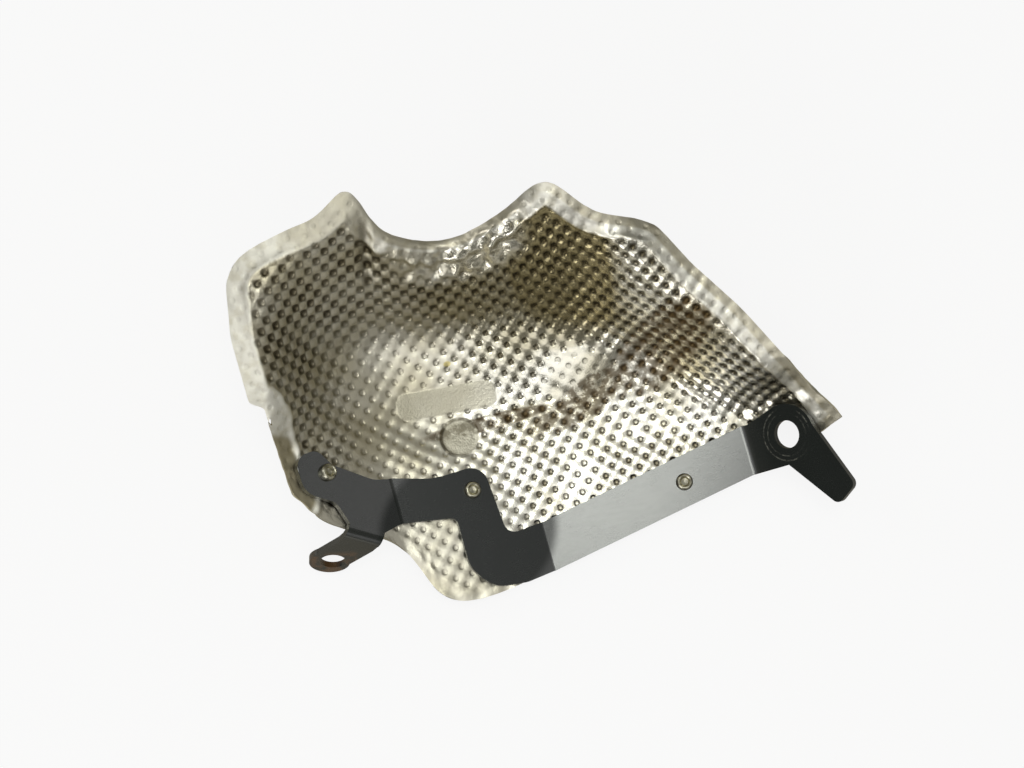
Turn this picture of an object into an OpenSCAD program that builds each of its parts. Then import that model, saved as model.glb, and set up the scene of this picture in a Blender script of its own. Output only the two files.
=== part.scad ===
// Heat shield for a shaft coupling: an embossed aluminium shell, open at the front and notched
// at the back for the shaft, with a bent steel bracket riveted inside along its front edge.
// X runs across the shaft, Y along it towards the notch, Z up. The origin is the centre of the
// bolt hole in the bracket's ring.

/* [Sheet] */
// Thickness of the two embossed foils together
sheet_t = 1.2; // [0.8:0.1:1.6]
// Height of each raised nub and depth of each sunk one
nub_h = 0.5; // [0.3:0.05:0.7]

/* [Left wall] */
// Distance of the left wall's crest to the left of the datum
rim_l_x = 87; // [82:1:92]
// Height of the left crest at the back corner
rim_l_back_h = 60; // [54:1:66]
// Height of the left crest where its flange ends
rim_l_front_h = 50; // [46:1:54]
// Distance of the left wall's foot to the left of the datum
foot_l_x = 70; // [66:1:74]
// Height of the left wall's foot
foot_l_h = 22; // [18:1:26]
// Width of the flange along the left and back-left crest
flange_l_w = 8; // [6:0.5:10]

/* [Back wall] */
// Height of the left peak beside the notch
peak_l_h = 65; // [60:1:70]
// Height of the right peak beside the notch
peak_r_h = 62; // [57:1:67]
// Height of the bottom of the notch for the shaft
notch_h = 46; // [40:1:50]
// Distance from the datum back to the bottom of the notch
notch_y = 57; // [54:1:60]
// Distance from the datum back to the left peak
peak_l_y = 75; // [71:1:79]
// Distance from the datum back to the right peak
peak_r_y = 62; // [59:1:65]
// Distance from the datum back to the back wall's foot
foot_b_y = 31; // [28:1:34]
// Height of the back wall's foot
foot_b_h = 14; // [11:1:17]
// Width of the turned edge along the notch and the peaks
flange_b_w = 6; // [4:0.5:8]

/* [Right wall] */
// Distance of the right crest's back corner to the right of the datum
rim_r_back_x = 55; // [52:1:58]
// Distance of the right crest's front end to the right of the datum
rim_r_front_x = 108; // [105:1:111]
// Height of the right crest at the back corner
rim_r_back_h = 54; // [49:1:59]
// Height of the right crest at half its length
rim_r_mid_h = 42; // [37:1:47]
// Width of the flange along the right crest
flange_r_w = 8; // [6:0.5:10]

/* [Bracket] */
// Thickness of the bracket's steel
strap_t = 2.5; // [2:0.25:3]
// Width of the straight part of the strap
strap_w = 19.5; // [17:0.5:21]
// Angle of the straight part of the strap to the X axis, in degrees
strap_turn = 9.8; // [8:0.1:11]
// Radius of the shell's surface in the folds that the strap follows
fold_r = 8; // [6:0.5:10]
// Rise of the knee part towards the left, in degrees
knee_rise = 12; // [8:1:16]
// Rise of the left end towards the left, in degrees
end_rise = 35; // [30:1:40]
// Rise of the ring and its tab towards the right, in degrees
ring_rise = 40; // [34:1:46]
// Outer radius of the ring
ring_r = 12; // [11:0.5:13]
// Diameter of the bolt hole in the ring
bolt_d = 11; // [8.5:0.5:12]
// Length of the tab beyond the bolt hole
tab_l = 34; // [26:1:38]
// Diameter of the hole in the ear
ear_hole_d = 10; // [8.5:0.5:11]
// Outer radius of the ear's end
ear_r = 8; // [7.5:0.5:10]
// Angle through which the ear is bent down, in degrees
ear_bend = 74; // [66:1:80]

/* [Rivets] */
// Diameter of a rivet's shank
rivet_d = 5; // [4:0.25:6]
// Diameter of a rivet's factory head
rivet_head_d = 9.5; // [8:0.5:11]
// Diameter of a rivet's formed end
rivet_end_d = 6.75; // [6:0.25:8]

/* [Clearances] */
// Gap between seated pieces
seat_gap = 0.3; // [0.2:0.05:0.5]
// Radial gap around a rivet's shank
rivet_gap = 0.15; // [0.1:0.05:0.3]

/* [Hidden] */

// Where the folds of the strap cross the X axis; the left one keeps its distance to the left crest
ring_fold_x = 87;
knee_fold_x = -2;
end_fold_in = 31;
end_fold_x = end_fold_in - rim_l_x;
// Middle of the strap at its knee fold
strap_knee_y = -60.2;

// Height of the strap's lower face over the shell's middle level
lift = nub_h + seat_gap;

// A slope that starts from level at d = 0, rounded over r to each side
function ramp(d, r) = d <= -r ? 0 : d >= r ? d : (d + r)*(d + r)/(4*r);
function reach(bend) = fold_r*tan(bend/2);

// Height of the shell's surface along the strap
function seat_z(x) =
    tan(ring_rise)*ramp(x - ring_fold_x, reach(ring_rise)*cos(ring_rise/2))
    + tan(knee_rise)*ramp(knee_fold_x - x, reach(knee_rise))
    + (tan(end_rise) - tan(knee_rise))*ramp(end_fold_x - x, reach(end_rise - knee_rise)*cos(end_rise/2));

// Edges of the straight part of the strap
half_w = strap_w/2/cos(strap_turn);
function strap_y(x) = strap_knee_y + (x - knee_fold_x)*tan(strap_turn);
function top_y(x) = strap_y(x) + half_w;
function low_y(x) = strap_y(x) - half_w;

// Grid of the shell: cells across, cells from back to front, and the lines between its regions
cols = 65;
rows = 45;
i_crest_l = 2;
i_foot_l = 13;
i_peak_l = 22;
i_notch = 34;
i_peak_r = 48;
i_foot_r = 54;
i_crest_r = 63;
j_crest = 2;
j_foot = 15;
j_mid = 25;
j_front = 35;
j_hem = 43;

// How far the shell's front edge lies inside the lower edge of the strap
edge_in = 1;

// Row at which the flange of the left crest is cut off, and what is left of it in front of that
j_step = 28;
flange_left = 0.3;

// Ribs across the shell from the back edge to the front edge: the row, then its marks from left to
// right as column, x, y, z
ribs = [
    [0, [
        [0, -rim_l_x - 1, 62 + flange_l_w, rim_l_back_h - 1],
        [i_crest_l, -rim_l_x + 4, 65 + flange_l_w, rim_l_back_h],
        [i_foot_l, -64, 69 + flange_l_w, rim_l_back_h + 2],
        [18, -52, peak_l_y + 3.5, peak_l_h - 1],
        [i_peak_l, -38.5, peak_l_y + flange_b_w + 5.5, peak_l_h + 2],
        [24, -36, peak_l_y + 2.5, peak_l_h - 3],
        [27, -31.5, notch_y + flange_b_w + 5, (peak_l_h + notch_h)/2],
        [i_notch, -10, notch_y + flange_b_w - 2, notch_h - 2],
        [42, 14, notch_y + flange_b_w + 1, (peak_r_h + notch_h)/2 - 1],
        [i_peak_r, 31.5, peak_r_y + flange_b_w + 1.5, peak_r_h + 1],
        [i_foot_r, 45, 55.5, rim_r_back_h + 3],
        [59, 55.5, 50.5, rim_r_back_h],
        [i_crest_r, rim_r_back_x + 8, 48, rim_r_back_h - 3],
        [cols, rim_r_back_x + 13, 44.5, rim_r_back_h - 4]]],
    [j_crest, [
        [0, -rim_l_x - 5, 57 + flange_l_w, rim_l_back_h - 1.5],
        [i_crest_l, -rim_l_x + 3, 61, rim_l_back_h],
        [i_foot_l, -62, 68, rim_l_back_h + 2],
        [i_peak_l, -39.5, peak_l_y, peak_l_h],
        [27, -31, notch_y + 7, (peak_l_h + notch_h)/2 + 1],
        [i_notch, -10, notch_y, notch_h],
        [42, 14, notch_y + 1, (peak_r_h + notch_h)/2],
        [i_peak_r, 29, peak_r_y, peak_r_h],
        [i_foot_r, 42, 52, rim_r_back_h + 3],
        [i_crest_r, rim_r_back_x + 2, 41, rim_r_back_h],
        [cols, rim_r_back_x + 15, 41.5, rim_r_back_h - 4]]],
    [j_foot, [
        [0, -rim_l_x - flange_l_w - 1, 44, rim_l_back_h - 5],
        [i_crest_l, -rim_l_x, 42, rim_l_back_h - 3],
        [i_foot_l, -foot_l_x + 4, 37, foot_l_h + 4],
        [i_peak_l, -47, 37, foot_b_h + 1],
        [i_notch, -18, foot_b_y, foot_b_h - 2],
        [i_peak_r, 14, foot_b_y - 3, foot_b_h],
        [i_foot_r, 38, 21, foot_b_h + 1],
        [i_crest_r, 70, 21.5, rim_r_mid_h + 6],
        [cols, 70 + flange_r_w, 27, rim_r_mid_h + 4]]],
    [j_mid, [
        [0, -rim_l_x - flange_l_w - 1, 25, rim_l_front_h + 1],
        [i_crest_l, -rim_l_x - 1, 25, rim_l_front_h + 2],
        [i_foot_l, -foot_l_x, 12, foot_l_h],
        [i_peak_l, -46, 5, 7],
        [i_notch, -14, -1, 2],
        [i_peak_r, 34, 0, 1.5],
        [i_foot_r, 58, 2, 5],
        [i_crest_r, 84, 2.5, rim_r_mid_h],
        [cols, 84 + flange_r_w, 6.5, rim_r_mid_h - 1]]],
    [j_front, [
        [0, -rim_l_x - flange_l_w - 1.5, 7, rim_l_front_h - 7],
        [i_crest_l, -rim_l_x - 1.5, 6, rim_l_front_h - 8],
        [i_foot_l, -76, -8, 29],
        [i_peak_l, -52, -16, 10.5],
        [i_notch, -18, -27, 3],
        [i_foot_r, 77, -22, 2],
        [i_crest_r, 98, -20, 34],
        [cols, 96.5 + flange_r_w, -16.5, 35]]],
    [j_hem, [
        [0, -rim_l_x - 6, -10, rim_l_front_h - 14],
        [i_crest_l, -rim_l_x - 2.5, -12, rim_l_front_h - 15],
        [8, -80, -26, 27],
        [i_foot_l, -66, -35, 18],
        [17, -56.5, -42, 12],
        [20, -49.5, -55, 10],
        [24, -43, -67, 9],
        [28, -30, -70, 6],
        [i_notch, -9, low_y(-9) + edge_in + 3, 2],
        [i_foot_r, 86, low_y(86) + edge_in + 3, 1],
        [i_crest_r, rim_r_front_x, -41, 20],
        [cols, rim_r_front_x + flange_r_w + 2.5, -39, 27]]],
    [rows, [
        [0, -rim_l_x - 5, -15, rim_l_front_h - 15.5],
        [i_crest_l, -rim_l_x - 2, -17, rim_l_front_h - 16],
        [8, -82, -29, 27],
        [i_foot_l, -66, -38.5, 18],
        [17, -57.5, -44, 12],
        [20, -52, -56, 10],
        [24, -46, -70, 9],
        [28, -31, -73, 6],
        [i_notch, -9, low_y(-9) + edge_in, 2],
        [i_foot_r, 88, low_y(88) + edge_in, 1],
        [i_crest_r, rim_r_front_x + 1.5, -46.5, 19],
        [cols, rim_r_front_x + flange_r_w + 3.5, -43, 26]]],
];

// Index of the mark at or before c in a list whose entries start with their place
function before(marks, c, k = 0) =
    k >= len(marks) - 2 || marks[k + 1][0] > c ? k : before(marks, c, k + 1);
function place_of(mark) = [mark[1], mark[2], mark[3]];
function slope_at(marks, k) =
    let (a = max(k - 1, 0), b = min(k + 1, len(marks) - 1))
    (place_of(marks[b]) - place_of(marks[a]))/(marks[b][0] - marks[a][0]);

// Point of a rib at column c, on a smooth curve through its marks
function rib_point(marks, c) =
    let (
        k = before(marks, c),
        w = marks[k + 1][0] - marks[k][0],
        t = (c - marks[k][0])/w,
        p = place_of(marks[k]),
        q = place_of(marks[k + 1]),
        m = slope_at(marks, k)*w,
        n = slope_at(marks, k + 1)*w
    )
    (2*t*t*t - 3*t*t + 1)*p + (t*t*t - 2*t*t + t)*m + (3*t*t - 2*t*t*t)*q + (t*t*t - t*t)*n;

rib_rows = [for (rib = ribs) [for (i = [0:cols]) rib_point(rib[1], i)]];

// Grid of straight lines between the ribs
rough = [for (j = [0:rows])
    let (k = before(ribs, j), t = (j - ribs[k][0])/(ribs[k + 1][0] - ribs[k][0]))
    [for (i = [0:cols]) rib_rows[k][i]*(1 - t) + rib_rows[k + 1][i]*t]];

// One pass of rounding: each point moves to the mean of itself and its neighbours
function at(g, j, i) = g[min(max(j, 0), rows)][min(max(i, 0), cols)];
function mean_across(g, j, i) =
    i == 0 || i == cols ? at(g, j, i) : (at(g, j, i - 1) + 2*at(g, j, i) + at(g, j, i + 1))/4;
function rounded_once(g) = [for (j = [0:rows]) [for (i = [0:cols])
    j == 0 || j == rows ? mean_across(g, j, i)
    : (mean_across(g, j - 1, i) + 2*mean_across(g, j, i) + mean_across(g, j + 1, i))/4]];
function rounded(g, passes) = passes == 0 ? g : rounded(rounded_once(g), passes - 1);
function cut_flange(g) = [for (j = [0:rows]) [for (i = [0:cols])
    i < i_crest_l && j > j_step
        ? g[j][i_crest_l] + (g[j][i] - g[j][i_crest_l])*flange_left
        : g[j][i]]];
soft = cut_flange(rounded(rough, 3));

// Line along the middle of the strap, in plan
strap_line = [[-82, -12], [-56, -27], [-28, -32], [-20, -58], [-8, -60], [ring_fold_x, -46], [102, -43]];
function off_segment(p, a, b) =
    let (t = min(max((p - a)*(b - a)/((b - a)*(b - a)), 0), 1)) norm(p - a - t*(b - a));
function off_line(p, line) = min([for (k = [0:len(line) - 2]) off_segment(p, line[k], line[k + 1])]);
function smooth_step(t) = let (s = min(max(t, 0), 1)) s*s*(3 - 2*s);

// The shell follows the strap's folds beside the strap, and its own form away from it
follow_w = 12;
fade_w = 15;
function seated(p) =
    let (w = smooth_step(1 - (off_line([p.x, p.y], strap_line) - follow_w)/fade_w))
    [p.x, p.y, p.z*(1 - w) + seat_z(p.x)*w];
base = [for (row = soft) [for (p = row) seated(p)]];

// Smooth places on the floor that carry no nubs: a label pad, a round pad and a low bulge
label_at = [-25, 6];
label_l = 40;
label_w = 12;
pad_at = [-23.5, -10.5];
pad_r = 7;
bulge_at = [28, 4];
bulge_l = 32;
bulge_w = 20;
bulge_h = 1.5;
function in_label(p) = abs(p.x - label_at.x) < label_l/2 && abs(p.y - label_at.y) < label_w/2;
function in_pad(p) = norm([p.x, p.y] - pad_at) < pad_r;
function bulge_part(p) = norm([(p.x - bulge_at.x)/bulge_l, (p.y - bulge_at.y)/bulge_w])*2;

function nub(i, j, p) =
    i == 0 || i == cols || j == 0 || j >= j_hem || in_label(p) || in_pad(p) || bulge_part(p) < 0.9 ? 0
    : ((i + j)%2 == 0 ? nub_h : -nub_h)*(i <= 1 || i >= cols - 1 || j <= 1 ? 0.4 : 1);
function normal_at(g, j, i) =
    let (v = cross(at(g, j, i + 1) - at(g, j, i - 1), at(g, j - 1, i) - at(g, j + 1, i))) v/norm(v);
function lifted(g, drop) = [for (j = [0:rows]) for (i = [0:cols])
    let (p = g[j][i], n = normal_at(g, j, i), swell = bulge_h*smooth_step((1 - bulge_part(p))*2))
    p + n*(nub(i, j, p) + swell - drop)];

count = (rows + 1)*(cols + 1);
function id(j, i) = j*(cols + 1) + i;

// Both skins, with each cell split along its raised corners, and the edge all round
function skin(first, flip) = [for (j = [0:rows - 1]) for (i = [0:cols - 1])
    let (a = first + id(j, i), b = a + 1, d = first + id(j + 1, i), c = d + 1)
    each (i + j)%2 == 0
        ? (flip ? [[a, c, b], [a, d, c]] : [[a, b, c], [a, c, d]])
        : (flip ? [[a, d, b], [b, d, c]] : [[a, b, d], [b, c, d]])];
function strip(a, b) = [[a, b, b + count], [a, b + count, a + count]];
edge_faces = [
    for (i = [0:cols - 1]) each strip(id(0, i + 1), id(0, i)),
    for (i = [0:cols - 1]) each strip(id(rows, i), id(rows, i + 1)),
    for (j = [0:rows - 1]) each strip(id(j, 0), id(j + 1, 0)),
    for (j = [0:rows - 1]) each strip(id(j + 1, cols), id(j, cols))];

module sheet()
    polyhedron(concat(lifted(base, 0), lifted(base, sheet_t)),
        concat(skin(0, false), skin(count, true), edge_faces), convexity = 12);

// Frames of the strap's planes: local z = 0 is the shell's middle level there
end_fold_z = (knee_fold_x - end_fold_x)*tan(knee_rise);
module on_left() translate([end_fold_x, 0, end_fold_z]) rotate([0, end_rise, 0]) children();
module on_knee() translate([knee_fold_x, 0, 0]) rotate([0, knee_rise, 0]) children();
module on_ring() translate([ring_fold_x, 0, 0]) rotate([0, -ring_rise, 0]) children();

// Outline whose corners are given as x, y and radius
function unit(v) = v/norm(v);
function arc(o, a, b, r, steps = 8) =
    let (from = atan2(a.y - o.y, a.x - o.x), to = atan2(b.y - o.y, b.x - o.x),
        turn = to - from > 180 ? to - from - 360 : to - from < -180 ? to - from + 360 : to - from)
    [for (k = [0:steps]) o + r*[cos(from + turn*k/steps), sin(from + turn*k/steps)]];
function corner(p, c, n) =
    let (at = [c.x, c.y], u = unit([p.x, p.y] - at), v = unit([n.x, n.y] - at), half = acos(u*v)/2)
    c.z == 0 ? [at] : arc(at + unit(u + v)*c.z/sin(half), at + u*c.z/tan(half), at + v*c.z/tan(half), c.z);
function outline(pts) = let (n = len(pts))
    [for (k = [0:n - 1]) each corner(pts[(k + n - 1)%n], pts[k], pts[(k + 1)%n])];

// Where each plate ends beside its fold, a lap inside the bend, and the end fold along the knee plate
lap = 0.2;
knee_reach = reach(knee_rise) - lap;
end_reach = reach(end_rise - knee_rise) - lap;
ring_reach = reach(ring_rise) - lap;
// Share of a round end's radius at which the straight sides start, so that they cross its outline
inside = 0.97;
end_s = -(knee_fold_x - end_fold_x)/cos(knee_rise);

// Level plate along the shell's front edge
module straight_plate()
    translate([0, 0, lift]) linear_extrude(strap_t) polygon([
        [knee_fold_x + knee_reach, low_y(knee_fold_x)], [ring_fold_x - ring_reach, low_y(ring_fold_x)],
        [ring_fold_x - ring_reach, top_y(ring_fold_x)], [knee_fold_x + knee_reach, top_y(knee_fold_x)]]);

// Plate with the knee, which widens and turns the strap towards its left end
end_top_y = -18.5;
end_low_y = -36.8;
module knee_plate()
    translate([0, 0, lift]) linear_extrude(strap_t) polygon(outline([
        [end_s + end_reach, end_low_y, 0], [-44, -38.2, 20], [-33, -40, 3], [-33, -60, 12], [-26, -70, 12],
        [-12, -71.5, 8], [-knee_reach, low_y(knee_fold_x), 0], [-knee_reach, top_y(knee_fold_x), 0],
        [-15, -51.6, 4.5], [-17.5, -22, 7], [-38, -22.8, 30], [end_s + end_reach, end_top_y, 0]]));

// Plate at the left end, with the ear's bend along its lower edge
ear_mid = [-16, -35];
ear_w = 15.4;
ear_turn = -26;
function ear_edge(d) = ear_mid + d*[cos(ear_turn), sin(ear_turn)] + lap*[sin(ear_turn), -cos(ear_turn)];
module left_plate()
    translate([0, 0, lift]) linear_extrude(strap_t) polygon(outline([
        [-end_reach, end_low_y, 0], concat(ear_edge(ear_w/2), 0), concat(ear_edge(-ear_w/2), 0),
        [-26.5, -23, 6], [-38.5, -17, 8], [-39.5, -3, 6], [-29, -1.5, 5], [-24, -8.5, 3], [-8, -17.5, 12],
        [-end_reach, end_top_y, 0]]));

// Plate with the ring and its tab
ring_s = 19;
ring_y = -43.2;
tab_turn = -58;
tab_end_w = 11;
tab_end_r = 3;
// Share of the ring's radius at which the tab's lower side starts
tab_in = 0.8;
ring_at = [ring_s, ring_y];
tab_dir = [cos(tab_turn), sin(tab_turn)];
tab_side = [-sin(tab_turn), cos(tab_turn)];
function with_r(p, r) = [p.x, p.y, r];
module ring_plate()
    translate([0, 0, lift]) linear_extrude(strap_t) {
        translate(ring_at) circle(r = ring_r, $fn = 96);
        polygon([[ring_reach, low_y(ring_fold_x)], ring_at - inside*[3, ring_r], ring_at,
            ring_at + ring_r*[-0.35, 0.93], [ring_reach, top_y(ring_fold_x)]]);
        polygon(outline([
            with_r(ring_at - tab_in*ring_r*tab_side, 0),
            with_r(ring_at + tab_l*tab_dir - tab_end_w/2*tab_side, tab_end_r),
            with_r(ring_at + tab_l*tab_dir + tab_end_w/2*tab_side, tab_end_r),
            with_r(ring_at + inside*ring_r*tab_side, 0)]));
    }

// Bend from the plate in whose frame it stands to the next plate on the left, from y0 to y1
module bend(turn, y0, y1)
    translate([reach(turn), 0, fold_r]) rotate([90, 0, 0])
        rotate_extrude(angle = turn, start = -90 - turn, $fn = 96)
            translate([fold_r - lift - strap_t, -y1]) square([strap_t, y1 - y0]);

// Ear bent down from the left plate, with its hole
ear_in_r = 3;
ear_to = [-2.7, -19.6];
ear_hole_at = ear_to + [0.7, 1.5];
module on_ear()
    on_left() translate(concat(ear_mid, lift)) rotate([0, 0, ear_turn])
        translate([0, 0, -ear_in_r]) rotate([ear_bend, 0, 0]) translate([0, 0, ear_in_r]) children();
module ear() {
    neck = ear_w/2 - lap;
    on_left() translate(concat(ear_mid, lift)) rotate([0, 0, ear_turn]) translate([-ear_w/2, 0, -ear_in_r])
        rotate([90, 0, 90]) rotate_extrude(angle = ear_bend, start = 90, $fn = 96)
            translate([ear_in_r, 0]) square([strap_t, ear_w]);
    on_ear() linear_extrude(strap_t) {
        translate(ear_to) circle(r = ear_r, $fn = 96);
        polygon([[-neck, lap], [-neck, -neck/2], ear_to + inside*ear_r*[-0.99, 0.1], ear_to,
            ear_to + inside*ear_r*[0.96, 0.25], [neck, -neck/2], [neck, lap]]);
    }
}

// Places of the rivets in the frames of their plates
rivet_left_at = [-27, -11];
rivet_knee_at = [-24, -31];
rivet_strap_at = [57, strap_y(57)];
module at_left_rivet() on_left() translate(rivet_left_at) children();
module at_knee_rivet() on_knee() translate(rivet_knee_at) children();
module at_strap_rivet() translate(rivet_strap_at) children();
// Length of the cutters that open the holes
cut_h = 24;
module rivet_holes() {
    hole_d = rivet_d + 2*rivet_gap;
    at_left_rivet() cylinder(d = hole_d, h = cut_h, center = true, $fn = 48);
    at_knee_rivet() cylinder(d = hole_d, h = cut_h, center = true, $fn = 48);
    at_strap_rivet() cylinder(d = hole_d, h = cut_h, center = true, $fn = 48);
}

// Semi-tubular rivet: a low head under the shell, the shank, and on the strap its end, spread to a
// collar with a thin rim round a cup
head_h = 1.6;
end_h = 2.6;
end_foot_h = 0.5;
rim_r = 2.3;
cup_r = 2;
cup_low_r = 1.4;
cup_depth = 1.3;
module rivet() {
    under = -sheet_t - nub_h - seat_gap;
    over = lift + strap_t;
    rotate_extrude($fn = 64) polygon(concat(
        [[0, under - head_h]],
        [for (k = [0:6]) [rivet_head_d/2 - head_h/2*(1 - cos(15*k)) - 0.001*k,
            under - head_h + head_h*0.6*sin(15*k)]],
        [[rivet_head_d/2, under], [rivet_d/2, under], [rivet_d/2, over], [rivet_end_d/2, over]],
        [for (k = [0:6]) [rim_r + (rivet_end_d/2 - rim_r)*cos(15*k),
            over + end_foot_h + (end_h - end_foot_h)*sin(15*k)]],
        [[cup_r, over + end_h - 0.2], [cup_low_r, over + end_h - cup_depth],
            [0, over + end_h - cup_depth - 0.4]]));
}

// Everything is drawn about a datum on the floor and then moved to the centre of the bolt hole
ring_mid_z = lift + strap_t/2;
bolt_at = [ring_fold_x + ring_s*cos(ring_rise) - ring_mid_z*sin(ring_rise), ring_y,
    ring_s*sin(ring_rise) + ring_mid_z*cos(ring_rise)];
module placed() translate(-bolt_at) children();

bolt_room = 2.5;
module shell() placed() color("#b9b5a6") difference() {
    sheet();
    rivet_holes();
    on_ring() translate(ring_at) cylinder(d = bolt_d + 2*bolt_room, h = cut_h, center = true, $fn = 64);
}

module bracket() placed() color("#2b2b2e") difference() {
    union() {
        straight_plate();
        on_knee() knee_plate();
        on_left() left_plate();
        on_ring() ring_plate();
        translate([knee_fold_x, 0, 0]) bend(knee_rise, low_y(knee_fold_x), top_y(knee_fold_x));
        translate([end_fold_x, 0, end_fold_z]) rotate([0, knee_rise, 0])
            bend(end_rise - knee_rise, end_low_y, end_top_y);
        on_ring() bend(ring_rise, low_y(ring_fold_x), top_y(ring_fold_x));
        ear();
    }
    rivet_holes();
    on_ring() translate(ring_at) cylinder(d = bolt_d, h = cut_h, center = true, $fn = 96);
    on_ear() translate(ear_hole_at) cylinder(d = ear_hole_d, h = cut_h, center = true, $fn = 96);
}

module rivet_left() placed() color("#c8bf8a") at_left_rivet() rivet();
module rivet_knee() placed() color("#c8bf8a") at_knee_rivet() rivet();
module rivet_strap() placed() color("#c8bf8a") at_strap_rivet() rivet();

shell();
bracket();
rivet_left();
rivet_knee();
rivet_strap();
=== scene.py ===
# %% [markdown]
# # A pressed and embossed heat shield
# The real object is a bowl pressed from two thin aluminium foils, embossed all over with small nubs,
# and a black steel bracket that three rivets hold inside its front edge. The measured model gives
# the size and place of every piece. This lesson dresses it: the foil gets its true embossing, the
# bracket its worn black paint, and the rivets their plating. We load the measured model first, because
# everything else hangs on it.

# %% Load the measured model
import math

import bmesh
import bpy
import numpy as np
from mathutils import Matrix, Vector, kdtree, noise


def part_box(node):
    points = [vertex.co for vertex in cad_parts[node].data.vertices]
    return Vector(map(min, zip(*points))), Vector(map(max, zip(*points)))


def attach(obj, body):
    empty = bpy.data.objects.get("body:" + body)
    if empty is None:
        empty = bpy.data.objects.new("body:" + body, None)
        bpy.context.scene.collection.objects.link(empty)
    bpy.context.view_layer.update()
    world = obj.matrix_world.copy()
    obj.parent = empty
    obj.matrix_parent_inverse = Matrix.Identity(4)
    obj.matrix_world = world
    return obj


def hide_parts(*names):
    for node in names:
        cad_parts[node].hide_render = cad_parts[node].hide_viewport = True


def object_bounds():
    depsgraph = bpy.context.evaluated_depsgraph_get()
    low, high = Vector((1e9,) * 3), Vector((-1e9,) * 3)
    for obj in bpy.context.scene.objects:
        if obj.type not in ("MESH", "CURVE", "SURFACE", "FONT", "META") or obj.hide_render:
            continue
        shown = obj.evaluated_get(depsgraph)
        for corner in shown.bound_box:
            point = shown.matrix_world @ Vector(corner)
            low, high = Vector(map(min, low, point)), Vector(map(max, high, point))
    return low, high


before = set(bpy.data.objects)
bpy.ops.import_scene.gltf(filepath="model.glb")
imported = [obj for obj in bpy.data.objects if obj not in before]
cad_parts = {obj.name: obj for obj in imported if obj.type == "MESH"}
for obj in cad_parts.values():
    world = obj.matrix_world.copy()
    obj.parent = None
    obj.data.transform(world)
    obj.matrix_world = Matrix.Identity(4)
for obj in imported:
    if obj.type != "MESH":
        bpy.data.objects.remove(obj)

MM = 0.001
cad_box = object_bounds()
for name in sorted(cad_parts):
    low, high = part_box(name)
    print(name, "spans", [round((high[k] - low[k])/MM, 1) for k in range(3)], "mm")

# %% [markdown]
# The sizes below repeat the few that the looks depend on, in millimetres. The measured model has its
# origin in the bolt hole, and the places on the floor are easier to read from the middle of the
# bracket's first fold, so one helper turns such a place into the model's frame.

# %% Sizes that the looks share with the measured model
SHEET_T = 1.2
DATUM = Vector((-100.2371, 43.2, -13.7834))
NUB_PITCH = 3.54


def at_datum(x, y, z=0.0):
    """A place given from the datum on the floor, in metres in the model's frame."""
    return (Vector((x, y, z)) + DATUM)*MM


# %% [markdown]
# ## The foil, step one: a smooth cage
# The measured shell already carries its embossing as one small pyramid per grid point, up and down in
# turn. That is right for its solid, but too coarse for a close look. We could model the bowl again,
# but a copy keeps its true form. So a copy is merged, its upper skin is picked by walking from face to
# face without crossing a sharp edge, and the pyramids are taken out of it.

# %% Pick the upper skin of the shell
def merged_copy(node):
    """The mesh of a measured node as a bmesh, with its loose triangles joined up."""
    mesh = bmesh.new()
    mesh.from_mesh(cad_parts[node].data)
    bmesh.ops.remove_doubles(mesh, verts=mesh.verts, dist=0.002*MM)
    return mesh


def middle_of(node):
    """Mean of a node's points, which lies on the axis of a turned piece such as a rivet."""
    mesh = merged_copy(node)
    mean = sum((v.co for v in mesh.verts), Vector())/len(mesh.verts)
    mesh.free()
    return mean


RIVET_HOLE_R, BOLT_ROOM_R = 2.65, 8
HOLES = [(middle_of("rivet_left"), 35, RIVET_HOLE_R), (middle_of("rivet_knee"), 12, RIVET_HOLE_R),
         (middle_of("rivet_strap"), 0, RIVET_HOLE_R), (Vector(), -40, BOLT_ROOM_R)]
HOLE_WALL_REACH = 10


def in_hole(face):
    """True for a face of a hole's wall. The holes are given as centre, tilt in degrees and radius."""
    for centre, tilt, radius in HOLES:
        axis = Vector((math.sin(math.radians(tilt)), 0, math.cos(math.radians(tilt))))
        away = face.calc_center_median() - centre
        along = away.dot(axis)
        near = abs(along) < HOLE_WALL_REACH*MM
        if near and (away - axis*along).length < radius*MM*1.01:
            return True
    return False


def looks_up(face):
    """True for a face of the upper skin. The cut edge's faces have a side as long as the thickness."""
    across = any(abs(edge.calc_length()/MM - SHEET_T) < 0.004 for edge in face.edges)
    return face.normal.z > -0.2 and not across and not in_hole(face)


def walk(seed, sharpest):
    """All faces that look up and are reached from one face over edges flatter than an angle."""
    found, to_visit = {seed}, [seed]
    while to_visit:
        for edge in to_visit.pop().edges:
            if len(edge.link_faces) == 2 and edge.calc_face_angle(math.pi) < sharpest:
                for other in edge.link_faces:
                    if other not in found and looks_up(other):
                        found.add(other)
                        to_visit.append(other)
    return found


SKIN_BEND = math.radians(72)

cage = merged_copy("shell")
floor_point = at_datum(10, -20, 3)
level_faces = [f for f in cage.faces if f.normal.z > 0.5]
seed = min(level_faces, key=lambda f: (f.calc_center_median() - floor_point).length)
upper = walk(seed, SKIN_BEND)
print("shell faces", len(cage.faces), "upper skin", len(upper))
bmesh.ops.delete(cage, geom=[f for f in cage.faces if f not in upper], context="FACES")

# %% [markdown]
# The skin still has three rivet holes, which the rivets hide, so each is drawn in to one point. Each
# square of the grid was split along the line between its raised corners. Those corners meet eight
# edges, or seven by the rim, and the sunk ones only four. So an edge between two corners of seven or
# more is such a split, and is dissolved. One round of smoothing by half then moves every point to the
# middle between itself and its neighbours, which are all turned the other way: the pyramids cancel
# out, and the bowl's own form stays.

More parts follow.
